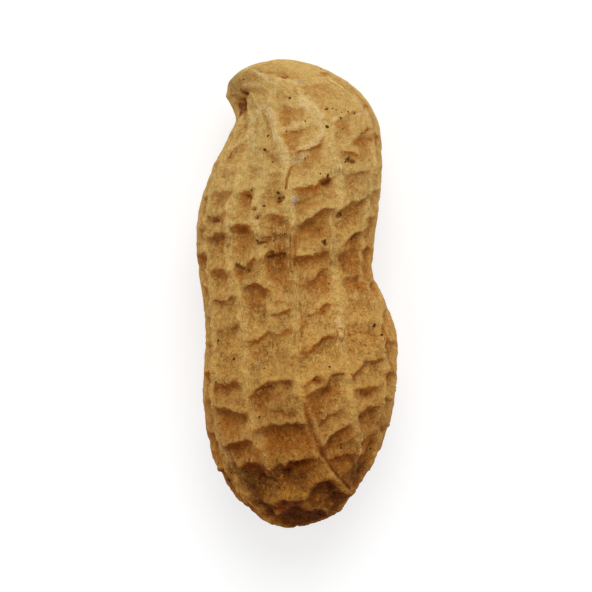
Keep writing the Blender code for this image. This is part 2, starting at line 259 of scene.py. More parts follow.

# Each cross ridge of the upper side: its height, how deep the stain and painted shade below it
# are, and its crest as (angle, place along the pod).
RIDGES = [
    # left column, from the base
    (1, 0.95, (150, 11.8), (142, 11.9), (136, 12), (128, 12.2), (121, 12.3), (117, 11.8), (114, 11.3)),
    (0.9, 0.8, (156, 14.9), (140, 15), (121, 15.1)),
    (1, 0.95, (152, 16.6), (147, 17), (140, 17.2), (136, 17.5), (131, 17.6), (126, 17.1)),
    (0.5, 0.35, (150, 19.6), (140, 19.7), (130, 19.9)),
    (0.9, 0.9, (152, 22), (145, 22.3), (138, 22.4), (130, 22.2)),
    (0.9, 0.8, (152, 24.8), (140, 24.8), (128, 25)),
    (1, 0.95, (152, 27.4), (145, 27.7), (135, 27.5), (129, 27.2)),
    (1, 0.95, (152, 30.1), (140, 30.6), (131, 30.8)),
    (1, 0.95, (152, 32), (142, 32.1), (132, 32.4)),
    (0.9, 0.8, (156, 34.2), (142, 34.4), (130, 34.5)),
    (0.6, 0.35, (156, 36.2), (142, 36.3), (130, 36.4)),
    (1, 0.95, (150, 37.3), (143, 38.4), (138, 38.9), (133, 38.6)),
    (0.7, 0.5, (158, 41.3), (148, 41.5), (140, 41.4)),
    # second column
    (0.9, 0.95, (127, 21.1), (122, 21.2), (119, 21.3), (116, 21.6), (112, 21.8), (108, 21.8),
     (104, 21.6), (102, 21.5), (98, 21.8), (94, 22), (91, 22.3), (86, 22.7)),
    (1, 0.95, (121, 25.6), (117, 26), (112, 26.2), (107, 26.1), (104, 25.5)),
    (1, 0.95, (127, 27.6), (118, 27.9), (112, 28.4), (108, 28.5), (106, 28.1), (103, 28.6),
     (97, 28.9), (90, 28.9)),
    (1, 0.95, (128, 31.2), (122, 31.3), (116, 31.3), (110, 31), (107, 30.6)),
    (1, 0.95, (129, 34.2), (124, 34.4), (118, 34.5), (112, 34.7)),
    (0.7, 0.5, (130, 36.2), (120, 36.4), (114, 36.6)),
    (0.9, 0.8, (126, 38.2), (119, 38.3), (114, 38)),
    (0.7, 0.5, (134, 41.6), (126, 41.7), (118, 41.6)),
    (0.7, 0.5, (140, 43.8), (128, 43.8), (117, 43.4)),
    # middle columns
    (1, 0.95, (118, 13), (112, 13.4), (107, 13.6), (98, 13.6), (90, 13.7), (84, 13.6)),
    (0.7, 0.5, (108, 15), (98, 15.2), (87, 15.2)),
    (1, 0.95, (121, 16.2), (118, 16.6), (114, 17), (110, 17.3), (104, 17.6), (97, 17.6), (94, 17.8)),
    (0.6, 0.6, (102, 19.9), (97, 19.6), (92, 19.2)),
    (1, 0.95, (108, 23.5), (103, 23.6), (98, 23.7), (93, 24), (89, 24.3)),
    (0.6, 0.6, (102, 24.6), (99, 25), (95, 24.9), (92, 24.3)),
    (0.8, 0.6, (106, 30.3), (98, 30.6), (91, 30.5)),
    (1, 0.95, (107, 32.1), (98, 32.3), (91, 32.3)),
    (0.4, 0.35, (104, 34.2), (98, 34.4), (93, 34.4)),
    (0.6, 0.35, (112, 35.8), (104, 36), (98, 35.9)),
    (0.5, 0.35, (112, 37.6), (106, 37.4)),
    (0.9, 0.6, (101, 40.1), (94, 40.3), (85, 40.8), (78, 41)),
    (0.7, 0.35, (114, 42.5), (104, 42.7), (96, 42.6), (90, 42.4), (82, 42.4)),
    (0.5, 0.3, (127, 46), (121, 46.4), (114, 46.5), (107, 46.3), (102, 45.8)),
    # right-hand column of the middle
    (1, 0.95, (75, 11.8), (70, 12.4), (65, 13.1), (60, 13.6), (54, 13.9)),
    (0.8, 0.6, (75, 14.3), (68, 14.8), (62, 15.1)),
    (1, 0.95, (91, 16.1), (86, 16.4), (80, 16.9), (75, 17.5), (72, 18), (68, 18.2), (62, 18.4)),
    (0.9, 0.8, (89, 17.3), (85, 17.7), (81, 18.1), (77, 18.1), (75, 17.8)),
    (1, 0.95, (97, 19.3), (93, 19.8), (88, 20.3), (83, 20.8), (79, 21.2), (72, 21.4), (66, 21.3)),
    (0.6, 0.6, (88, 23.6), (78, 23.9), (66, 24.6)),
    (0.8, 0.6, (86, 26.1), (80, 26.5), (74, 26.8), (66, 27.4), (60, 27.8)),
    (1, 0.95, (85, 28.6), (77, 28.8), (70, 28.9), (63, 29.2), (58, 29.3)),
    (1, 0.75, (87, 31.3), (80, 31.6), (75, 31.9), (71, 32.6), (65, 33), (60, 33)),
    (0.4, 0.35, (88, 33.6), (80, 33.8), (72, 33.7)),
    (1, 0.95, (91, 34.6), (84, 35), (78, 35.2), (72, 35.8), (66, 36.1), (62, 36.1)),
    (1, 0.95, (93, 37.8), (88, 38.3), (82, 38.9), (77, 39.5), (73, 40)),
    # right-hand edge
    (0.4, 0.35, (42, 10.9), (34, 10.9), (26, 10.9)),
    (0.6, 0.35, (58, 12.3), (52, 12.4), (46, 12.3), (38, 12.5), (27, 12.6)),
    (0.9, 0.8, (58, 14.8), (44, 15), (28, 15.2)),
    (1, 0.95, (56, 16.7), (45, 16.9), (38, 17.1), (30, 17.3)),
    (1, 0.95, (59, 18.2), (53, 18.7), (47, 19.2), (40, 19.6), (30, 19.6)),
    (0.6, 0.35, (60, 22.6), (46, 22.8), (30, 22.9)),
    (0.6, 0.35, (58, 24.8), (44, 25), (29, 25.2)),
    (0.7, 0.5, (55, 26.7), (42, 26.9), (28, 27.2)),
    (0.9, 0.8, (57, 28.9), (50, 29.2), (43, 29.2)),
    (1, 0.95, (50, 29.8), (42, 30.3), (36, 30.9), (30, 31.3), (22, 31.5)),
    (1, 0.65, (57, 32.9), (50, 33.3), (43, 33.9), (36, 34.4), (28, 34.8)),
    (0.8, 0.6, (62, 36.2), (50, 36.4), (38, 36.6), (28, 36.8)),
    (0.9, 0.8, (62, 38.3), (54, 38.4), (46, 38.3)),
    (1, 0.95, (52, 39.6), (43, 40.1), (35, 40.4), (26, 40.3)),
    (0.8, 0.6, (70, 40.9), (58, 41.2), (46, 41.5), (34, 41.6)),
    (0.6, 0.35, (84, 44.6), (68, 44.4), (52, 44.2)),
]

# Cross ridges of the stalk end, whose crests are points across and along the pod: height, and
# stain with painted shade.
BASE_RIDGES = [
    (1, 1, (-5.2, -15.5), (-4.8, -15), (-4.4, -14.7), (-3.7, -14.6), (-3, -14.7), (-2.5, -15.1),
     (-2.3, -15.4)),
    (0.9, 1, (-1.2, -15.1), (-0.7, -14.7), (0.1, -14.5), (0.7, -14.4), (1.3, -14.2), (2.1, -14.2)),
    (1, 0.9, (0.6, -18.2), (1.1, -17.3), (1.9, -16.4), (2.4, -16.1), (3.1, -16), (3.6, -16.7),
     (4.5, -17.7), (5.1, -17.9)),
    (1, 1, (-2, -19.2), (-1.6, -18.3), (-1.1, -17.9), (-0.6, -18.2), (0, -18.3), (0.5, -18.2)),
    (0.7, 0.75, (-2, -19.8), (-1.3, -19.4), (-0.5, -19), (0.2, -19), (1.2, -19), (2.1, -19.2),
     (3, -19.7)),
    (0.7, 0.8, (2.6, -14.5), (3.3, -14.3), (3.9, -14.1), (4.6, -13.9), (5.1, -13.7)),
    (0.6, 0.5, (3.8, -16.2), (4.3, -15.6), (4.9, -15)),
]

# Dips of the upper side: (angle, place), half width across, half length along, depth, and stain
# with painted shade.
DIPS = [
    ((131, 46.4), 0.3, 0.45, 0.45, 0.9),
    ((149, 44.6), 0.5, 0.8, 0.2, 0.9),
    ((97.5, 33.6), 0.3, 0.45, 0.35, 0.8),
    ((69, 35.1), 0.55, 0.35, 0.45, 1),
    ((79, 17.4), 0.35, 0.3, 0.45, 1),
    ((47.6, 19), 0.3, 0.25, 0.3, 1),
    ((73, 16.6), 0.8, 0.55, 0.3, 0.7),
    ((110, 25.2), 0.6, 0.6, 0.35, 0.7),
    ((36, 39.2), 1.2, 0.6, 0.25, 0.5),
    ((112, 32.6), 0.22, 0.22, 0.2, 1),
    ((109, 31.9), 0.3, 0.25, 0.25, 1),
    ((53, 32.2), 0.25, 0.25, 0.2, 0.9),
]

# Grooves that run along the upper side: half width, depth, stain with painted shade, and (angle,
# place) points.
GROOVES = [
    (0.3, 0.35, 0.8, (70, 10.4), (74, 11.4), (80, 12.8), (84.5, 14.4), (86, 15.6)),
    (0.12, 0.15, 0.8, (94, 34.3), (95, 35.4), (94, 36.6)),
    (0.12, 0.15, 0.7, (93, 27.2), (92.5, 28.6), (93.5, 29.4)),
    (0.12, 0.15, 0.8, (30.5, 20.8), (30, 22.3)),
    (0.12, 0.12, 0.5, (94, 20.5), (93.5, 21.7)),
    (0.4, 0.12, 0.5, (153, 42.6), (150, 44), (142, 45.2), (134, 46)),
]

# Dark lines and marks of the upper side as seen from above: half width, depth, stain with painted
# shade, and points across and along the pod.
DARK_LINES = [
    (0.28, 0.25, 1, (-4.95, 17.8), (-4.75, 17.8)),
    (0.3, 0.12, 0.3, (-4.7, 17.7), (-5, 17.2), (-4.9, 16.6), (-5.3, 16.1), (-5.5, 15.6)),
    (0.2, 0.08, 1.6, (-5.1, 17.1), (-4.95, 16.7)),
    (0.22, 0.06, 1.6, (-5.3, 16.6), (-5.1, 16.2), (-5.2, 15.9)),
    (0.3, 0.1, 0.4, (-4.4, 18), (-3.7, 17.9), (-2.9, 17.7)),
    (0.1, 0.04, 0.9, (-1.3, 19.2), (-1, 19.1), (-0.8, 19.2)),
    (0.1, 0.08, 0.9, (3.5, -3.3), (3.6, -3.9), (3.9, -4.3), (4.2, -3.8), (4.1, -3.2), (3.7, -3.1)),
    (0.35, 0.15, 0.6, (-2.8, -19.8), (-1.2, -20.2), (0.4, -20.3), (2.2, -20.1)),
    (0.45, 0.35, 1, (-1.5, -18.9), (-1, -18.5), (-0.4, -18.7), (0.1, -18.7)),
    (0.3, 0.1, 1, (-4.7, -15.5), (-4.2, -15.1), (-3.6, -15.1), (-3, -15.4)),
    (0.25, 0.1, 1, (-0.4, -15.1), (0.6, -14.9), (1.5, -14.6)),
    (0.6, 0.1, 0.7, (1.6, -17.3), (2.4, -16.8), (3.2, -17.2)),
    (0.12, 0.1, 0.7, (2.5, -14.4), (3, -15.2), (3.5, -15.9), (4.1, -16.6), (4.9, -17.5)),
    (0.15, 0.15, 1, (-3.4, -18.6), (-2.6, -19.1), (-2, -19.4)),
    (0.12, 0.15, 1, (-3.6, -16.8), (-3.5, -16.4), (-3.1, -16.4)),
    (0.12, 0.15, 1, (-1.2, -15.8), (-0.9, -15.9), (-0.4, -15.7)),
    (0.1, 0.12, 0.9, (-0.8, -15.9), (-0.8, -16.3)),
    (0.12, 0.12, 0.9, (-2.3, -16.5), (-1.8, -16.5)),
    (0.14, 0.1, 0.7, (3.5, -17.3), (3.3, -17.8)),
    (0.18, 0.1, 1, (-0.3, -20.4), (0.5, -20.5)),
    (0.12, 0.14, 0.8, (7.6, -2.8), (8, -3.9), (8.3, -5.4), (8.65, -7.2)),
    (0.09, 0.1, 0.7, (-0.54, 5.1), (-0.5, 3.5), (-0.6, 1.9)),
    (0.09, 0.1, 0.7, (-0.18, 5), (-0.1, 3.6), (-0.2, 2.2)),
    (0.09, 0.1, 0.6, (0.27, 0.1), (0.3, -1.2), (0.45, -2.5), (0.4, -3.8)),
    (0.09, 0.1, 0.6, (-1, 1.3), (-0.95, 0.3)),
    # the brown rim of the beak's right-hand side, and short marks that are darker, above 1
    (0.25, 0, 0.5, (4.5, 18.8), (6.05, 16.9), (6.95, 14.8), (7.25, 12.3)),
    (0.3, 0.05, 0.9, (5.2, 13.2), (5.9, 13.6), (6.7, 13.6)),
    (0.2, 0.1, 1.1, (4.5, 11.7), (5.1, 11.5)),
    (0.2, 0.12, 1.3, (2.5, 9.6), (2.9, 9.8)),
    (0.2, 0.12, 1.4, (-1.6, 8), (-1.2, 8.3)),
    (0.18, 0.1, 1.2, (-4.5, 8.6), (-4.2, 8.4)),
    (0.2, 0.08, 1.1, (3.8, 6.7), (4, 7)),
    (0.18, 0.08, 1.1, (-7.6, 6.3), (-7.1, 6.4)),
    (0.16, 0.06, 0.8, (-5.7, 5.3), (-5, 5.4)),
    (0.12, 0.08, 1.2, (-3.4, 4.3), (-2.7, 4.4)),
    (0.14, 0.08, 1.2, (2.4, 4.4), (2.6, 4.2)),
    (0.14, 0.08, 1.1, (-2.5, 3.1), (-1, 3.3)),
    (0.16, 0.08, 1.1, (-5.3, 2.4), (-4.3, 1.9)),
    (0.16, 0.06, 0.6, (0.2, -2.7), (0.8, -2.5)),
    (0.2, 0.06, 0.7, (-1.2, -3.5), (-0.6, -3.3)),
    (0.2, 0.06, 0.8, (0.8, -4.9), (0.4, -5.2)),
    (0.18, 0.06, 0.7, (-0.1, -5.5), (-0.4, -5.7)),
    (0.14, 0.1, 1.1, (3.1, -7.2), (4, -7.1)),
    (0.2, 0.1, 1.3, (1.5, -7.6), (1.8, -7.4)),
    (0.12, 0.1, 1.3, (-3.6, -8.5), (-2.5, -8.1)),
]

# Pale raised lines, seen the same way: half width, height, paleness, and points.
PALE_LINES = [
    (0.25, 0.15, 0.5, (-4.7, 18.5), (-3.9, 18.4), (-3.3, 18.5)),
    (0.2, 0.06, 0.8, (-4.8, 20.1), (-3.9, 19.9), (-2.9, 19.2), (-2.3, 18.6), (-1.7, 18.4)),
    (0.4, 0.06, 1, (0.1, 16.5), (0.6, 16.6), (1.4, 16)),
    (0.3, 0.08, 0.8, (-2.86, 16.35), (-3.66, 15.64), (-4, 14.7), (-3.9, 13.7), (-3.75, 12.6)),
    (0.35, 0.1, 0.9, (-2.4, 16.2), (-2.23, 15.1), (-1.88, 14), (-1.34, 13), (-1, 11.7)),
    (0.3, 0.08, 0.8, (-1.16, 14.4), (-0.27, 14.56), (0.8, 14.9), (1.7, 15.3)),
    (0.4, 0.12, 1, (1.97, 15.5), (2.06, 14.7), (2.23, 14), (1.5, 13.1), (0.6, 12.4), (-0.1, 11.5)),
    (0.35, 0.08, 0.8, (0.1, 16.7), (0.8, 16.9), (1.5, 16.3), (2.06, 15.6)),
    (0.25, 0.06, 0.6, (-1.7, 18.7), (-1.9, 18), (-2.4, 17.1), (-2.6, 16.2)),
    (0.25, 0.05, 0.6, (-1.7, 18.8), (-0.8, 18.9), (-0.1, 18.4), (0.45, 17.7), (0.5, 17)),
    (0.25, 0.06, 0.7, (-6, 12.9), (-5.3, 13.1), (-4.4, 13.7), (-3.9, 13.9)),
    (0.35, 0.05, 1, (3.8, -2.5), (3.85, -4.3)),
    (0.2, 0.06, 0.6, (2.8, 19.4), (4, 18.1), (5.3, 16.9), (6.2, 16)),
    (0.25, 0.06, 0.7, (4.56, 15.5), (5.1, 15.7), (6.2, 16), (6.6, 15.3)),
    (0.3, 0.06, 0.6, (3.4, 15.3), (3.2, 14.2), (2.95, 13.3), (3.3, 12.2), (3.7, 11.3)),
    (0.5, 0.25, 0.2, (-1.8, -14.3), (-1.7, -15.6), (-1.4, -17.5), (-0.9, -17.7)),
    (0.2, 0.15, 0.9, (-6.8, -13.6), (-6.1, -14.9), (-5.3, -16.7), (-4.7, -17.6), (-3.7, -18.4)),
    (0.15, 0.12, 0.9, (-6.4, -13.4), (-5.7, -14.7), (-5, -16.4), (-4.3, -17.3)),
    (0.13, 0.15, 1.1, (5.8, -12.9), (5.6, -14.7), (5.7, -16.6)),
    (0.16, 0.1, 0.7, (2.2, -14.5), (2.7, -15.3), (3.2, -16), (3.8, -16.7), (4.6, -17.6), (5.1, -17.9)),
    # pale fibres that run along the ribs
    (0.13, 0.04, 0.75, (-6, 8.2), (-6.2, 6.8), (-6, 5.2), (-5.9, 3.7), (-5.7, 1.7)),
    (0.1, 0.03, 0.6, (-6.4, 6.6), (-6.5, 5), (-6.4, 3.5)),
    (0.1, 0.03, 0.6, (-7.8, 6.6), (-7.8, 5.3), (-7.6, 3.5)),
    (0.12, 0.03, 0.55, (-0.4, 7.5), (-0.5, 5.6), (-0.4, 3.5), (-0.6, 1.5)),
    (0.12, 0.03, 0.55, (3.1, 7), (3.3, 5), (3.2, 3.1), (3.2, 1.1)),
    (0.1, 0.03, 0.6, (-7.9, -1.9), (-7.6, -4.1), (-7.4, -6.2), (-7.1, -8.2)),
    (0.13, 0.04, 0.6, (-4.5, -2.5), (-4.4, -4.6), (-4.6, -6.5), (-4.3, -8.5)),
    (0.12, 0.04, 0.6, (-0.4, -4.6), (-0.4, -6.3)),
    (0.14, 0.04, 0.6, (3.7, -2.3), (3.8, -4.2), (3.9, -6.1)),
    (0.1, 0.04, 0.7, (7.6, -3.7), (7.8, -5.6), (8.3, -7.6)),
]

# Patches that are paler (above 0) or more orange: (angle, place), half sizes, amount.
PATCHES = [
    ((84, 42.3), 1.1, 0.6, 0.7),
    ((150, 46.5), 2.6, 2.2, -0.8),
    ((110, 48.5), 3, 1.2, -0.5),
    ((152, 43.5), 1, 1.6, -0.8),
    ((72.5, 40), 0.6, 0.8, 0.8),
    ((95, 45.6), 1.6, 0.8, 0.3),
    ((60, 43), 3, 1.4, 0.25),
    ((97, 41.4), 1.3, 0.6, -0.3),
    ((125, 40.4), 0.9, 0.6, -0.6),
    ((108, 46.9), 1.6, 0.5, -0.2),
    ((27, 27.5), 2.2, 2.6, -0.5),
    ((30, 38.6), 1.6, 1, -0.4),
    ((100, 20.5), 3.2, 2.6, 0.5),
    ((75, 22), 2.4, 2.2, 0.4),
    ((50, 22), 2, 2, 0.3),
    ((140, 21), 2, 2.5, 0.3),
    ((86, 16.6), 0.5, 1.4, -0.5),
    ((80, 13), 0.5, 1.8, -0.6),
    ((97, 19), 2, 0.8, 0.3),
    ((66, 21.5), 0.35, 0.7, 1.5),
]

# Grey scuffs: (angle, place), half sizes.
SCUFFS = [
    ((87, 33.4), 0.35, 0.5),
    ((69.8, 44.8), 0.35, 0.16),
    ((116.5, 18.9), 0.25, 0.25),
    ((47.6, 19), 0.3, 0.3),
]


def raised(distance, crest, side):
    """A rounded ridge: 1 within its crest's half-width, and 0 past its side."""
    return 1 - smooth_step((np.abs(distance) - crest) / side)


def lumps(points, size, seed):
    """Smooth random heights from -1 to 1: one draw at each corner of a lattice of that size, and
    cubic steps between the eight corners round a point."""
    side = 32
    draws = np.random.default_rng(seed).uniform(-1, 1, (side, side, side))
    low = np.floor(points / size).astype(int)
    f = smooth_step(points / size - low)
    total = 0
    for step in np.ndindex(2, 2, 2):
        weight = np.where(step, f, 1 - f).prod(-1)
        total = total + weight * draws[tuple(np.moveaxis((low + step) % side, -1, 0))]
    return total


def lumps_at(seed, first, second, third=0.0):
    """Lumps of size 1 where three arrays that broadcast together give the coordinates."""
    return lumps(np.stack(np.broadcast_arrays(first, second, third), -1), 1.0, seed)


def layered(layers):
    """The sum of layers of lumps over the pod, each x its amount."""
    return sum(amount * lumps(pod, size, seed) for amount, size, seed in layers)


def under_ridges():
    """Cross ridges of the underside, column by column: even steps with seeded draws."""
    draw = np.random.default_rng(UNDER_SEED)
    found = []
    for _ in range(UNDER_COLUMNS):
        place = UNDER_FIRST + UNDER_STEP * draw.random()
        ridges = []
        while place < UNDER_LAST:
            slant = UNDER_SLANT_SPREAD * draw.uniform(-1, 1)
            ridges.append((place - slant, place + slant, draw.uniform(*UNDER_HEIGHTS)))
            place += UNDER_STEP + UNDER_STEP_SPREAD * draw.uniform(-1, 1)
        found.append(ridges)
    return found


def cross_ridge(away, height, stain_and_shade, reach):
    """The height of a cross ridge; the red-brown stain and painted shade that start as a dark line on
    the steep wall on its base side, away from the lamp, and thin out over the floor below; and the
    painted highlight of a pale lip on the lit side of its crest."""
    base_wall = raised(away, RIDGE_CREST, RIDGE_BASE_SIDE)
    beak_slope = np.clip(1 - (away - RIDGE_CREST) / RIDGE_BEAK_SIDE, 0, 1) ** RIDGE_BEAK_CURVE
    below = np.clip(-away - SHADE_AND_STAIN_START, 0, None)
    line = np.exp(-(((below - DARK_LINE_AT) / DARK_LINE_WIDTH) ** 2))
    thinning = np.exp(-((below / reach) ** SHADE_AND_STAIN_FALL))
    shade = smooth_step(below / SHADE_AND_STAIN_EDGE) * (FLOOR_SHADE_AND_STAIN * thinning + DARK_LINE * line)
    lip_highlight = height * np.exp(-(((away - LIP_AT) / LIP_WIDTH) ** 2))
    return height * np.where(away > 0, beak_slope, base_wall), stain_and_shade * shade, lip_highlight


def beside_line(points):
    """Seen from above: the distance to a line through points, the distance to its nearest piece
    drawn on without end, above 0 on its left, and how far the spot lies past the line's ends."""
    spot = pod[..., :2][..., None, :]
    start, step = np.array(points[:-1]), np.diff(points, axis=0)
    length = np.linalg.norm(step, axis=-1)
    reached = ((spot - start) * step).sum(-1) / length**2
    away = np.linalg.norm(spot - start - np.clip(reached, 0, 1)[..., None] * step, axis=-1)
    crossed = (step[:, 0] * (spot - start)[..., 1] - step[:, 1] * (spot - start)[..., 0]) / length
    past = np.full(reached.shape, -1.0)
    past[..., 0] = -reached[..., 0] * length[0]
    past[..., -1] = np.maximum(past[..., -1], (reached[..., -1] - 1) * length[-1])
    nearest = away.argmin(-1)[..., None]
    found = (away, crossed, past)
    away, crossed, past = (np.take_along_axis(each, nearest, -1)[..., 0] for each in found)
    return away, np.where(past > 0, crossed, np.sign(crossed) * away), past


def net_of_shell():
    """1 less the product of what each rib and cross ridge leaves open. Both run a little wavily,
    because their distances are read off points that are pushed about by smooth lumps."""
    sway, wave = layered(RIB_SWAY), layered(RIDGE_WAVE)
    strength = np.ones((ROWS + 1, ribs.shape[1]))
    fading = (places[:, 0] - FADING_RIB_TO) / (FADING_RIB_FROM - FADING_RIB_TO)
    strength[:, FADING_RIB] = smooth_step(fading)
    strength[:, 1:DRAWN_COLUMNS] *= smooth_step((places - BASE_RIBS_FROM) / BASE_RIBS_FADE)
    apart = RIB_APART * np.arange(ribs.shape[1] - 1)
    uneven = lumps_at(RIB_SEED, apart, places / RIB_UNEVEN_LENGTH)
    strength[:, :-1] *= RIB_STRENGTH + RIB_UNEVEN * uneven
    strength[:, -1] = strength[:, 0]
    width = (ribs[:, column] - ribs[:, column + 1]) * radius
    from_ribs = [
        (strength[:, column], width * share + sway),
        (strength[:, column + 1], width * (1 - share) - sway),
    ]
    thick = 1 + layered(RIB_THICKNESS)
    wide = CORD_SIDE + CORD_SIDE_MORE * smooth_step((places - CORD_WIDENS_FROM) / CORD_WIDENS_OVER)
    opened, cord = 1, 0
    for strong, away in from_ribs:
        opened = opened * (1 - RIB_HEIGHT * strong * raised(away / thick, RIB_CREST, RIB_SIDE))
        cord = np.maximum(cord, strong * raised(away, CORD_CREST, wide))
    seam = np.abs((degrees + 90) % 180 - 90) * np.radians(1) * radius + sway
    rib = 1 - opened * (1 - SEAM_HEIGHT * raised(seam, SEAM_CREST, SEAM_SIDE))
    floor, wall = np.ones(rib.shape), np.zeros(rib.shape)
    reach = np.interp(places, SHADE_AND_STAIN_AT, SHADE_AND_STAIN_REACH)

    def add(here, away, height, stain_and_shade):
        """Floor x what the ridge leaves open, and the larger of each stain with painted shade
        and of each painted highlight on a pale lip.
        """
        height_here, shade, lip_highlight = cross_ridge(away, height, stain_and_shade, reach)
        floor[:, here] *= 1 - height_here
        wall[:, here] = np.maximum(wall[:, here], shade)
        # The painted highlight on each ridge's lit lip joins the pale cords.
        cord[:, here] = np.maximum(cord[:, here], LIP_HIGHLIGHT * lip_highlight)

    for under, found in enumerate(under_ridges()):
        here = column == DRAWN_COLUMNS + under
        for on_left, on_right, height in found:
            crest = on_left + (on_right - on_left) * share[here]
            add(here, places - crest + wave[:, here], height, height)
    everywhere = np.ones(len(column), bool)
    for height, stain_and_shade, *points in BASE_RIDGES:
        _, away, past = beside_line(points)
        kept = upper * (1 - smooth_step(past / BASE_RIDGE_END_FADE + RIDGE_END_START))
        add(everywhere, away + BASE_RIDGE_WAVE * wave, height * kept, stain_and_shade * kept)
    for height, stain_and_shade, *crest in RIDGES:
        angles, at = np.array(crest[::-1], float).T
        past = np.maximum(angles[0] - degrees, degrees - angles[-1])
        kept = 1 - smooth_step(past / RIDGE_END_FADE + RIDGE_END_START)
        before, after = (np.interp(degrees + step, angles, at) for step in (-LEAN_STEP, LEAN_STEP))
        lean = (after - before) / np.radians(2 * LEAN_STEP) / radius
        away = (along - (before + after) / 2) / np.hypot(1, lean) + wave
        add(everywhere, away, height * kept, stain_and_shade * kept)
    # The stain and its painted shade vary in strength over the pod.
    wall = wall * (1 + layered(SHADE_AND_STAIN_SWAY))
    return 1 - (1 - rib) * floor, cord, wall * (1 - RIB_SHADE_AND_STAIN_LOSS * rib)


def blob(centre, across, length):
    """A bell-shaped spot on the upper side, by its half sizes in millimetres."""
    angle, place = centre
    aside = np.radians(degrees - angle) * radius
    return np.exp(-((aside / across) ** 2) - ((along - place) / length) ** 2)


def groove(half_width, points):
    """1 on a line that runs along the pod, 0 beside it and past its ends, and half at its ends."""
    angles, at = np.array(points, float).T
    aside = np.radians(degrees - np.interp(along, at, angles)) * radius
    past = np.maximum(at[0] - along, along - at[-1])
    return np.exp(-((aside / half_width) ** 2)) * (1 - smooth_step(past / GROOVE_END_FADE + 0.5))


def on_line(half_width, points):
    """1 on a line of the upper side as seen from above, 0 beside it. A thin line wavers less."""
    away = beside_line(points)[0] + waver * min(1.0, half_width / FULL_WAVER_WIDTH)
    return upper * np.exp(-((away / half_width) ** 2))


net, cord, wall = net_of_shell()
beside = (np.degrees(lines) - SHOULDER_ANGLE) / SHOULDER_SPREAD
above = (places - SHOULDER_PLACE) / SHOULDER_LENGTH
depth_share = smooth(DEPTH_AT, DEPTH_SHARE, places[:, 0])[:, None]
depth_share = depth_share * (1 - SHOULDER_LOSS * np.exp(-(beside**2) - above**2))
depth = NET_DEPTH * depth_share * (1 - net)
# The hollow under the beak's tip: a dip, with red-brown stain and painted shade in it.
offset = (pod[..., :2] - HOLLOW_CENTRE) / HOLLOW_HALF_SIZE
hollow = np.exp(-(offset**2).sum(-1)) * (turned > 0)
depth += HOLLOW_DEPTH * hollow
wall = np.maximum(wall, HOLLOW_SHADE_AND_STAIN * hollow)
fade = smooth_step(places / END_FADE) * smooth_step(along / SCAR_FADE)
fade = fade * smooth_step((pod_length - places) / END_FADE)
veins, marks = np.zeros(net.shape), np.zeros(net.shape)
waver = layered(LINE_WAVER)
sunken = [(blob(centre, across, length), *rest) for centre, across, length, *rest in DIPS]
sunken += [(groove(wide, points), dip, stain_and_shade) for wide, dip, stain_and_shade, *points in GROOVES]
sunken += [(on_line(wide, points), dip, stain_and_shade) for wide, dip, stain_and_shade, *points in DARK_LINES]
for spot, dip, stain_and_shade in sunken:
    depth += fade * dip * spot
    wall = np.maximum(wall, stain_and_shade * spot)
    marks = np.maximum(marks, (stain_and_shade > 1) * spot)
for half_width, height, paleness, *points in PALE_LINES:
    spot = on_line(half_width, points)
    depth -= fade * height * spot
    veins = np.maximum(veins, paleness * spot)
# The pale cords, with the painted highlight on the ridge lips, fade out towards the beak, and the pale
# veins join them.
cord = CORD_PALENESS * cord * (1 - smooth_step((places - CORD_FADES_FROM) / CORD_FADES_OVER))
cord = np.maximum(cord, veins)
pale = np.interp(along, PALE_AT, PALE_AMOUNT)
pale += sum(amount * blob(centre, across, length) for centre, across, length, amount in PATCHES)
grey = sum(blob(*scuff) for scuff in SCUFFS)
rough = layered(ROUGHNESS)
rough += sum(amount * (np.abs(lumps(pod, size, seed)) - CREASE_LEVEL) for amount, size, seed in CREASES)
at_stalk = smooth_step((STALK_ROUGH_TO - along) / ROUGH_CHANGE)
at_beak = smooth_step((along - BEAK_SMOOTH_FROM) / ROUGH_CHANGE)
rough *= ROUGH_SHARE + STALK_ROUGHER * at_stalk - BEAK_SMOOTHER * at_beak
edge = np.exp(-((np.sin(turned) * radius / EDGE_WIDTH) ** 2))
round_the_pod = (column + share)[None, :] / len(line_counts)
fibres = lumps_at(FIBRE_SEED, FIBRES_ROUND * round_the_pod, places / FIBRE_LENGTH)
depth += fade * (rough * (1 - EDGE_SMOOTHER * edge) + FIBRE_DEPTH * fibres)
surface = pod - depth[..., None] * outward(pod)
surface[..., 2] = np.maximum(surface[..., 2] - REST_SINK, 0)
low, high = surface.reshape(-1, 3).min(0), surface.reshape(-1, 3).max(0)
surface[..., :2] -= ((low + high) / 2)[:2]
packed_size = np.array(packed_box[1]) - np.array(packed_box[0])
surface *= packed_size / (high - low)


def closed_mesh(name, rows):
    """Quads between neighbouring rows and lines, and a fan of triangles at each end. The UV map
    holds the share of the turn and of the length."""
    last, around = rows.shape[0] - 1, rows.shape[1]
    points = np.vstack([rows[:1, 0], rows[1:-1].reshape(-1, 3), rows[-1:, 0]])
    faces, uv = [], []
    for first, row_steps, line_steps in (
        (np.array([0]), (0, 1, 1), (0, 1, 0)),
        (np.arange(1, last - 1), (0, 0, 1, 1), (0, 1, 1, 0)),
        (np.array([last]), (0, -1, -1), (0, 0, 1)),
    ):
        line = np.arange(around)[:, None] + line_steps
        row, line = np.broadcast_arrays(first[:, None, None] + row_steps, line)
        corner = np.clip(1 + (row - 1) * around + line % around, 0, len(points) - 1)
        faces += np.where(row > 0, corner, 0).reshape(-1, len(row_steps)).tolist()
        uv.append(np.stack([line / around, row / last], -1).ravel())
    mesh = bpy.data.meshes.new(name)
    mesh.from_pydata(points.tolist(), [], faces)
    mesh.uv_layers.new(name="along_ribs").data.foreach_set("uv", np.concatenate(uv))
    mesh.shade_smooth()
    return mesh


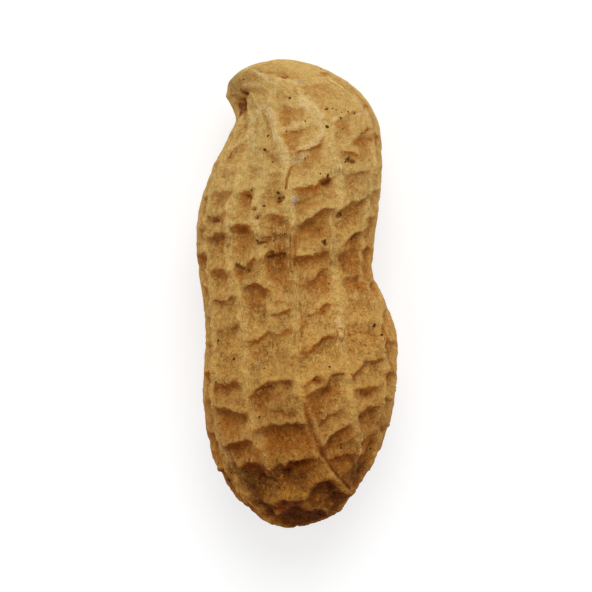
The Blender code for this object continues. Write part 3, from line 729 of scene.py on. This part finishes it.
def add_values(mesh, name, rows):
    """Stores one number for each point, in the order of closed_mesh."""
    values = np.concatenate([rows[:1, 0], rows[1:-1].ravel(), rows[-1:, 0]])
    mesh.attributes.new(name, "FLOAT", "POINT").data.foreach_set("value", values.astype(np.float32))


def place_in_scene(name, data):
    """An object at the origin that shows a mesh, a lamp or a camera."""
    thing = bpy.data.objects.new(name, data)
    bpy.context.scene.collection.objects.link(thing)
    return thing


shell_mesh = closed_mesh("peanut_shell", surface)
# Among the stored values are the stain with its painted shade and the pale cords with the painted
# highlight on the ridge lips.
values = dict(net=net, cord=cord, veins=veins, marks=marks, wall=wall, pale=pale, grey=grey)
for name, rows in values.items():
    add_values(shell_mesh, name, rows)
shell = place_in_scene("peanut_shell", shell_mesh)

# The shell's finish: dry straw-brown fibre, matte. The net is paler than the cell floors, the
# steep walls below the cross ridges hold a red-brown stain with painted shade and their lit lips a
# painted highlight, and soil and painted shade darken the stalk end.
CELL_COLOUR = (0.44, 0.22, 0.048)
LINE_COLOUR = (0.4, 0.165, 0.024)
STREAKS = (160.0, 34.0, 1.0)
DRY_SHEEN = 0.08
# Where the pod changes, from none to full, in places along it from its middle.
STALK_SOIL, BEAK_PLAIN, BEAK_PALE, COARSE_BASE = (-11, -16), (7, 14), (6, 14), (10, 0)
# Each coat's colour, the amounts where it starts and where it is full, and its strength.
COATS = {
    "crest": ((0.56, 0.375, 0.115), 0.15, 0.95, 1.0),
    "orange": ((0.42, 0.165, 0.026), 0.42, 0.68, 0.65),
    # The cords' coat also paints the highlight on the lit lips of the cross ridges.
    "cord": ((0.63, 0.455, 0.15), 0.22, 0.85, 0.75),
    "vein": ((0.66, 0.5, 0.23), 0.3, 0.8, 0.7),
    # Red-brown stain together with painted shade, below the cross ridges and in dips, grooves and the
    # beak's hollow.
    "stain_and_shade": ((0.32, 0.096, 0.006), 0.12, 0.8, 0.9),
    "mark": ((0.13, 0.05, 0.012), 0.25, 0.8, 0.8),
    "scuff": ((0.42, 0.38, 0.32), 0.3, 0.8, 0.65),
    "dark_fleck": ((0.24, 0.09, 0.016), 0.6, 0.68, 0.6),
    "soil": ((0.13, 0.06, 0.02), 0.5, 0.85, 0.7),
    "pale_fleck": ((0.63, 0.455, 0.15), 0.57, 0.68, 0.6),
}
# What the colours are multiplied by, at places along the pod from its middle. It darkens towards
# the stalk end, for the soil there and as painted shade where that end turns away from the lamp.
TINT_ALONG = [
    (-21.0, (0.54, 0.31, 0.11)),
    (-18.5, (0.69, 0.45, 0.22)),
    (-15.0, (0.78, 0.51, 0.27)),
    (-11.5, (0.82, 0.63, 0.5)),
    (-8.0, (0.92, 0.74, 0.58)),
    (-4.5, (0.95, 0.75, 0.58)),
    (-0.5, (1.02, 0.86, 0.77)),
    (4.0, (0.96, 0.81, 0.68)),
    (10.0, (1.04, 0.98, 1.0)),
    (14.5, (1.01, 0.91, 0.88)),
    (21.0, (1.12, 1.07, 1.1)),
]


class Amount:
    """A number or a colour that varies over a piece. Reckoning with it adds Math nodes."""

    def __init__(self, tree, socket):
        self.tree, self.socket = tree, socket

    def feed(self, socket, value):
        """Links an amount to a socket, or sets the socket to a number, a vector or a colour."""
        if isinstance(value, Amount):
            self.tree.links.new(value.socket, socket)
        else:
            socket.default_value = (*value, 1.0) if socket.type == "RGBA" else value

    def node(self, kind, settings=(), inputs=(), output=None):
        """Adds a node of that type, sets its settings and then its sockets, and returns the first
        output, or the one of that name."""
        node = self.tree.nodes.new(kind)
        for key, value in dict(settings).items():
            if key == "stops":
                ramp = node.color_ramp
                while len(ramp.elements) < len(value):
                    ramp.elements.new(0.5)
                for element, (position, colour) in zip(ramp.elements, value):
                    element.position, element.color = position, (*colour, 1.0)
            else:
                setattr(node, key, value)
        for key, value in dict(inputs).items():
            self.feed(next(s for s in node.inputs if key in (s.identifier, s.name)), value)
        found = (s for s in node.outputs if output in (None, s.identifier, s.name))
        return Amount(self.tree, next(found))

    def math(self, operation, *values, clamp=False):
        """A Math node of that operation on those values."""
        node = self.tree.nodes.new("ShaderNodeMath")
        node.operation, node.use_clamp = operation, clamp
        for socket, value in zip(node.inputs, values):
            self.feed(socket, value)
        return Amount(self.tree, node.outputs[0])

    def __add__(self, other):
        return self.math("ADD", self, other)

    def __sub__(self, other):
        return self.math("SUBTRACT", self, other)

    def __rsub__(self, other):
        return self.math("SUBTRACT", other, self)

    def __mul__(self, other):
        return self.math("MULTIPLY", self, other)

    def __abs__(self):
        return self.math("ABSOLUTE", self)

    __radd__ = __add__
    __rmul__ = __mul__

    def between(self, low, high):
        """0 at low, 1 at high, and straight between, whichever is the larger."""
        return self.math("MULTIPLY_ADD", self, 1 / (high - low), -low / (high - low), clamp=True)


def new_finish(name):
    """A material with nodes, and its shader."""
    material = bpy.data.materials.new(name)
    material.use_nodes = True
    return material, material.node_tree.nodes["Principled BSDF"]


def blend(base, colour, amount):
    """Goes from one colour to another by an amount."""
    sockets = {"Factor_Float": amount, "A_Color": base, "B_Color": colour}
    return amount.node("ShaderNodeMix", {"data_type": "RGBA"}, sockets, "Result_Color")


def coat(under, name, amount, kept=1.0):
    """The coat's colour over the one under it: the amount in its range x its strength x kept."""
    colour, low, high, strength = COATS[name]
    return blend(under, colour, amount.between(low, high) * (strength * kept))


def times(first, second):
    """The product of two colours, channel by channel."""
    sockets = {"Vector": first, "Vector_001": second}
    return first.node("ShaderNodeVectorMath", {"operation": "MULTIPLY"}, sockets, "Vector")


def shell_finish():
    """Colour = cell floor to crest by the net, then the other coats and brown lines, x the tint
    along the pod x the speckle. The fine grain also makes the bump."""
    material, shader = new_finish("dry_shell")
    start = Amount(material.node_tree, None)

    def reading(name):
        """The value of that name in the shell's mesh."""
        return start.node("ShaderNodeAttribute", {"attribute_name": name}, output="Fac")

    def noise(kind, vector, scale, detail, rough, draw):
        """A Noise Texture of that many dimensions, which varies round 0.5."""
        sockets = {"Vector": vector, "W": draw, "Scale": scale, "Detail": detail, "Roughness": rough}
        return start.node("ShaderNodeTexNoise", {"noise_dimensions": kind}, sockets, "Fac")

    def grain(size, detail=3.0, rough=0.6, draw=0.0):
        """Noise of that size in millimetres. Another draw gives another pattern."""
        return noise("4D" if draw else "3D", where, 1 / (size * MM), detail, rough, draw)

    where = start.node("ShaderNodeTexCoord", output="Object")
    along_pod = start.node("ShaderNodeSeparateXYZ", inputs={"Vector": where}, output="Y") * (1 / MM)
    stalk_end, beak_end = along_pod.between(*STALK_SOIL), along_pod.between(*BEAK_PLAIN)
    ribs_way = start.node("ShaderNodeUVMap", {"uv_map": "along_ribs"})
    drawn_out = start.node("ShaderNodeMapping", (), {"Vector": ribs_way, "Scale": STREAKS})
    streaks = noise("2D", drawn_out, 1.0, 3.0, 0.65, 0.0) - 0.5
    patches, blotches, mottles = grain(4.0, 2.0) - 0.5, grain(1.4, 4.0), grain(0.9, 5.0, 0.68, 3.0)
    fine, finest = grain(0.45, 4.0) - 0.5, grain(0.12, 2.0) - 0.5
    net, wall, cord, pale = reading("net"), reading("wall"), reading("cord"), reading("pale")
    colour = coat(CELL_COLOUR, "crest", net + 0.8 * pale + 1.1 * (blotches - 0.5) + fine)
    orange = mottles + 0.5 * patches - 0.1 * net - 0.25 * pale
    colour = coat(colour, "orange", orange, 1.0 - 0.5 * along_pod.between(*BEAK_PALE))
    # Pale cords, and the painted highlight on the ridge lips.
    colour = coat(colour, "cord", cord + 0.8 * streaks + 0.8 * fine)
    colour = coat(colour, "vein", reading("veins") + 0.7 * streaks + fine)
    # Red-brown stain and painted shade.
    colour = coat(colour, "stain_and_shade", wall * (0.1 + blotches + 0.8 * mottles) + 0.8 * fine)
    colour = coat(colour, "mark", reading("marks") + 0.7 * fine)
    colour = coat(colour, "scuff", reading("grey") + 1.2 * fine)
    colour = coat(colour, "dark_fleck", grain(0.3) + 0.04 * stalk_end, 1.0 - 0.5 * beak_end)
    wrinkles = abs(grain(1.1) - 0.5).between(0.016, 0.002)
    wrinkles = wrinkles * (blotches + 0.3 * (0.7 - net)).between(0.5, 0.62) * (1.0 - 0.65 * beak_end)
    colour = blend(colour, LINE_COLOUR, 0.75 * wrinkles)
    brown_lines = abs(streaks).between(0.03, 0.005) * patches.between(0.0, 0.1)
    brown_lines = brown_lines * (1.0 - 0.7 * beak_end)
    colour = blend(colour, LINE_COLOUR, 0.6 * brown_lines)
    soiled = stalk_end * (1.3 * grain(0.8, 4.0) + 0.5 * (0.6 - net)) + 0.6 * fine
    colour = coat(colour, "soil", soiled)
    colour = coat(colour, "pale_fleck", grain(0.3, draw=7.0))
    low_end, high_end = TINT_ALONG[0][0], TINT_ALONG[-1][0]
    # Crests and cords read further towards the beak on the tint, cell floors further towards the stalk:
    # where the tint changes fast, near the stalk end, this paints the crests paler and the floors darker,
    # as painted light and shade over the net's own paler fibre.
    drift = along_pod + 4.0 * patches + 2.0 * (net - 0.6) + 2.0 * (cord - 0.2)
    drift = drift.between(low_end, high_end)
    stops = [((at - low_end) / (high_end - low_end), tint) for at, tint in TINT_ALONG]
    tint = start.node("ShaderNodeValToRGB", {"stops": stops}, {"Fac": drift}, "Color")
    strong = 1.0 + 0.3 * along_pod.between(*COARSE_BASE) + 0.6 * stalk_end
    speckle = 1.0 + strong * (0.8 * fine + 1.05 * finest)
    # Painted shade: the walls below the ridges near the stalk end are darkened further.
    speckle = speckle * (1.0 - 0.45 * wall * stalk_end)
    # A darker spot is also redder.
    redder = {
        "X": 0.6 * speckle + 0.4,
        "Y": speckle,
        "Z": speckle.math("MAXIMUM", 1.35 * speckle - 0.35, 0.05),
    }
    colour = times(times(colour, tint), start.node("ShaderNodeCombineXYZ", inputs=redder))
    height = 0.8 * fine + 0.3 * finest + 0.4 * streaks - 0.2 * wrinkles - 0.1 * brown_lines
    pressed = {"Height": height, "Strength": 1.0, "Distance": 0.45 * MM}
    start.feed(shader.inputs["Base Color"], colour)
    start.feed(shader.inputs["Roughness"], 0.92 - 0.2 * net * (fine + 0.5))
    start.feed(shader.inputs["Specular IOR Level"], DRY_SHEEN)
    start.feed(shader.inputs["Normal"], start.node("ShaderNodeBump", inputs=pressed))
    return material


shell_mesh.materials.append(shell_finish())
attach(shell, "root")
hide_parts("peanut_pod")


# Soil specks: crumbs of dark soil pressed into the shell in the field, and, as painted shade, the
# same dark crumbs on tiny holes that read as black dots. Each is a flat crumb with seven sides
# that lies on the surface.
SPECK_COLOUR = (0.075, 0.035, 0.012)
# The angle, the place along the pod and the radius of each speck that was read off.
SPECKS = [
    (95, 43.3, 0.13), (72, 41.8, 0.12), (73.5, 40.3, 0.17), (118.5, 39.3, 0.13), (116, 38, 0.16),
    (144, 37.7, 0.12), (54, 37.6, 0.2), (56, 37.2, 0.14), (61, 40.9, 0.12), (68, 35.7, 0.2),
    (97.5, 33.7, 0.26), (98.5, 34.1, 0.16), (117, 34.2, 0.14), (53, 32.2, 0.24), (109, 31.8, 0.28),
    (112, 32.6, 0.18), (106, 32.9, 0.14), (62.5, 29.9, 0.2), (108, 29.8, 0.12), (97, 29.8, 0.12),
    (153, 20.8, 0.16), (134.5, 19.2, 0.16), (37, 22.3, 0.2), (33, 21.4, 0.16), (70, 41.7, 0.1),
    (66, 41.8, 0.1), (64, 41.6, 0.1), (58, 41.4, 0.09), (52, 41.5, 0.09), (48, 41.3, 0.1), (92, 5.3, 0.14),
    (85, 6.2, 0.14), (104, 7.6, 0.13), (112, 8.1, 0.12), (120, 7.4, 0.14), (90, 30.4, 0.1),
]
SPECK_SIDES, SPECK_TOP, SPECK_BOTTOM, SPECK_UNEVEN = 7, 0.3, 0.4, (0.6, 1.3)
RANDOM_SPECKS, RANDOM_SPECK_SIZES, SPECK_SEED = 170, (0.05, 0.13), 31
STALK_SPECKS_TO, FEWEST_SPECKS, BARE_END_ROWS = 26, 0.25, 8
MM_PER_DEGREE = 0.14


def near(angle, place):
    """The row and the line of the grid that come nearest to a place on the pod."""
    aside = np.abs((degrees - angle + 180) % 360 - 180) * MM_PER_DEGREE
    return np.unravel_index((aside**2 + (along - place) ** 2).argmin(), along.shape)


def speck_mesh():
    """Each crumb = centre + radius x (cosine, sine) in the shell's own plane, with a top point and
    a bottom point on the normal. More of the random ones lie towards the stalk end."""
    draw = np.random.default_rng(SPECK_SEED)
    spots = [near(angle, place) for angle, place, _ in SPECKS]
    sizes = [size for _, _, size in SPECKS]
    weight = FEWEST_SPECKS + np.clip((STALK_SPECKS_TO - places[:, 0]) / STALK_SPECKS_TO, 0, 1)
    weight[:BARE_END_ROWS] = weight[-BARE_END_ROWS:] = 0
    rows = draw.choice(ROWS + 1, RANDOM_SPECKS, p=weight / weight.sum())
    spots += list(zip(rows, draw.integers(0, len(column), RANDOM_SPECKS)))
    sizes += list(draw.uniform(*RANDOM_SPECK_SIZES, RANDOM_SPECKS))
    row, line = np.array(spots).T
    sizes = np.array(sizes)[:, None, None] * MM
    centre, up = surface[row, line][:, None], outward(surface)[row, line][:, None]
    side = np.cross(up, draw.normal(size=up.shape))
    side /= np.linalg.norm(side, axis=-1, keepdims=True)
    turn = np.linspace(0, 2 * np.pi, SPECK_SIDES, endpoint=False)[None, :, None]
    reach = sizes * draw.uniform(*SPECK_UNEVEN, (len(sizes), SPECK_SIDES, 1))
    ring = centre + reach * (np.cos(turn) * side + np.sin(turn) * np.cross(up, side))
    top, bottom = centre + SPECK_TOP * sizes * up, centre - SPECK_BOTTOM * sizes * up
    points = np.clip(np.concatenate([top, bottom, ring], 1), *packed_box)
    first = np.arange(len(sizes))[:, None, None] * points.shape[1]
    k = np.arange(SPECK_SIDES)
    after = (k + 1) % SPECK_SIDES
    upper = np.stack([0 * k, 2 + k, 2 + after], -1)
    lower = np.stack([0 * k + 1, 2 + after, 2 + k], -1)
    faces = (first + np.concatenate([upper, lower])[None]).reshape(-1, 3)
    mesh = bpy.data.meshes.new("soil_and_hole_shade_specks")
    mesh.from_pydata(points.reshape(-1, 3).tolist(), [], faces.tolist())
    mesh.shade_smooth()
    return mesh


def plain_finish(name, colour, rough):
    """One matte colour all over."""
    material, shader = new_finish(name)
    shader.inputs["Base Color"].default_value = (*colour, 1.0)
    shader.inputs["Roughness"].default_value = rough
    shader.inputs["Specular IOR Level"].default_value = DRY_SHEEN
    return material


specks = place_in_scene("soil_and_hole_shade_specks", speck_mesh())
# One dark colour for the soil crumbs and for the painted shade on the holes.
specks.data.materials.append(plain_finish("soil", SPECK_COLOUR, 0.95))
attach(specks, "root")


# Fibre strands: single pale fibres of the shell's outer net that have come loose and lie along its
# ribs. Each is a thin tube that follows a rib and tapers at both ends.
STRAND_COLOUR = (0.52, 0.35, 0.13)
STRAND_POINTS, STRAND_SIDES, STRAND_SEED = 48, 5, 41
# The rib, the first and last place along the pod, the lines beside the rib, and the radius.
STRANDS = [
    (4, 35, 39, 1, 0.03), (5, 40, 45.5, 0, 0.03), (4, 27, 30, -1, 0.03),
    (4, 14, 16.5, 0.5, 0.03), (3, 22, 25, 0, 0.03), (0, 20, 23, 0, 0.03),
    (1, 18, 21, 1, 0.03), (1, 19, 22, -1.5, 0.025), (0, 26, 29, 2, 0.03),
    (5, 18, 21, 0.5, 0.03), (2, 31, 34, 1, 0.025), (3, 42, 45, 1, 0.025),
]
RANDOM_STRANDS, STRAND_STARTS, STRAND_LENGTHS = 24, (14, 40), (1, 3.5)
STRAND_ASIDE, STRAND_RADII, STRAND_TIP = (-2, 2), (0.02, 0.035), 0.12
WAVER_LINES, WAVER_LENGTH, STRANDS_APART = 2.5, 1.8, 5.3
LIFT, LIFT_SPREAD, LIFT_LENGTH = 0.2, 2.0, 0.7
WAVER_SEED, LIFT_SEED = 17, 22


def strand_mesh():
    """Rings of a few points round paths that run along the grid's rows at a rib. Radius = tip +
    root of a half sine along the path, so that both ends are thin."""
    draw = np.random.default_rng(STRAND_SEED)
    chosen = list(STRANDS)
    for _ in range(RANDOM_STRANDS):
        rib, start = draw.integers(0, ribs.shape[1] - 1), draw.uniform(*STRAND_STARTS)
        end = start + draw.uniform(*STRAND_LENGTHS)
        chosen.append((rib, start, end, draw.uniform(*STRAND_ASIDE), draw.uniform(*STRAND_RADII)))
    rib, start, end, beside_rib, thick = np.array(chosen).T[..., None]
    t = np.linspace(0, 1, STRAND_POINTS)
    place = start + (end - start) * t
    row = place / pod_length * ROWS
    first_line = np.concatenate([[0], np.cumsum(line_counts)])[rib.astype(int)]
    apart = STRANDS_APART * np.arange(len(chosen))[:, None]
    aside = WAVER_LINES * lumps_at(WAVER_SEED, place / WAVER_LENGTH, apart)
    line = (first_line + beside_rib + aside) % len(column)
    low_row, low_line = np.floor(row).astype(int), np.floor(line).astype(int)
    up_by, over = (row - low_row)[..., None], (line - low_line)[..., None]
    next_line = (low_line + 1) % len(column)

    def read(grid):
        """The grid's value between its four nearest points, by the share of the way to each."""
        near_row = grid[low_row, low_line] * (1 - over) + grid[low_row, next_line] * over
        far_row = grid[low_row + 1, low_line] * (1 - over) + grid[low_row + 1, next_line] * over
        return near_row * (1 - up_by) + far_row * up_by

    path, up = read(surface), read(outward(surface))
    side = np.cross(np.gradient(path, axis=1), up)
    side /= np.linalg.norm(side, axis=-1, keepdims=True)
    radius_here = (thick * (STRAND_TIP + np.sin(np.pi * t) ** 0.5) * MM)[..., None]
    rise = LIFT + LIFT_SPREAD * lumps_at(LIFT_SEED, place / LIFT_LENGTH, line, 2.0)
    path = path + rise[..., None] * radius_here * up
    turn = np.arange(STRAND_SIDES) / STRAND_SIDES * 2 * np.pi
    ring = np.cos(turn)[:, None] * side[..., None, :] + np.sin(turn)[:, None] * up[..., None, :]
    points = np.clip(path[..., None, :] + radius_here[..., None] * ring, *packed_box)
    corner = np.arange(points[..., 0].size).reshape(points.shape[:-1])
    after = np.roll(corner, -1, 2)
    quads = np.stack([corner[:, :-1], after[:, :-1], after[:, 1:], corner[:, 1:]], -1).reshape(-1, 4)
    caps = corner[:, 0, ::-1].tolist() + corner[:, -1].tolist()
    mesh = bpy.data.meshes.new("fibre_strands")
    mesh.from_pydata(points.reshape(-1, 3).tolist(), [], quads.tolist() + caps)
    mesh.shade_smooth()
    return mesh


strands = place_in_scene("fibre_strands", strand_mesh())
strands.data.materials.append(plain_finish("dry_fibre", STRAND_COLOUR, 0.8))
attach(strands, "root")


# The studio: a plain pale floor, one large soft lamp beyond the beak and high up, soft light from
# all round, and a camera that looks straight down on the pod.
PHOTO_MM_PER_PIXEL, PHOTO_SIDE, PHOTO_MIDDLE = 42.0 / 470.0, 592, (-0.09, -0.27)
SILHOUETTE_LEVEL = 7.7
LENS, SENSOR = 180.0, 36.0
GROUND_COLOUR, GROUND_GLOW, ALL_ROUND_LIGHT = (0.4, 0.4, 0.4), 0.6, 0.74
# The floor's half side and its gap below the pod, and the lamp's place and side, in metres.
GROUND_HALF_SIDE, GROUND_GAP = 1.5, 0.02 * MM
LAMP_PLACE, LAMP_SIDE, LAMP_POWER = (0.06, 0.85, 1.1), 0.8, 10.6
LAMP_AIM = (0, 0, 0.005)


def floor_under():
    """A square of pale floor, a hair below the pod."""
    half, level = GROUND_HALF_SIDE, -GROUND_GAP
    mesh = bpy.data.meshes.new("floor")
    corners = [(-half, -half, level), (half, -half, level), (half, half, level), (-half, half, level)]
    mesh.from_pydata(corners, [], [(0, 1, 2, 3)])
    material, shader = new_finish("pale_floor")
    shader.inputs["Base Color"].default_value = (*GROUND_COLOUR, 1.0)
    shader.inputs["Roughness"].default_value = 0.9
    shader.inputs["Emission Color"].default_value = (1.0, 1.0, 1.0, 1.0)
    shader.inputs["Emission Strength"].default_value = GROUND_GLOW
    mesh.materials.append(material)
    floor = place_in_scene("floor", mesh)


floor_under()
lamp_data = bpy.data.lights.new("key", "AREA")
lamp_data.energy, lamp_data.size = LAMP_POWER, LAMP_SIDE
lamp = place_in_scene("key", lamp_data)
lamp.location = LAMP_PLACE
lamp.rotation_euler = (Vector(LAMP_AIM) - Vector(LAMP_PLACE)).to_track_quat("-Z", "Y").to_euler()
world = bpy.data.worlds.new("soft_light")
world.use_nodes = True
background = world.node_tree.nodes["Background"]
background.inputs["Color"].default_value = (1.0, 1.0, 1.0, 1.0)
background.inputs["Strength"].default_value = ALL_ROUND_LIGHT
bpy.context.scene.world = world
bpy.context.scene.view_settings.view_transform = "Standard"
camera_data = bpy.data.cameras.new("camera")
camera_data.lens, camera_data.sensor_width = LENS, SENSOR
camera = place_in_scene("camera", camera_data)
distance = PHOTO_SIDE * PHOTO_MM_PER_PIXEL * LENS / SENSOR
camera.location = [value * MM for value in (*PHOTO_MIDDLE, SILHOUETTE_LEVEL + distance)]
bpy.context.scene.camera = camera
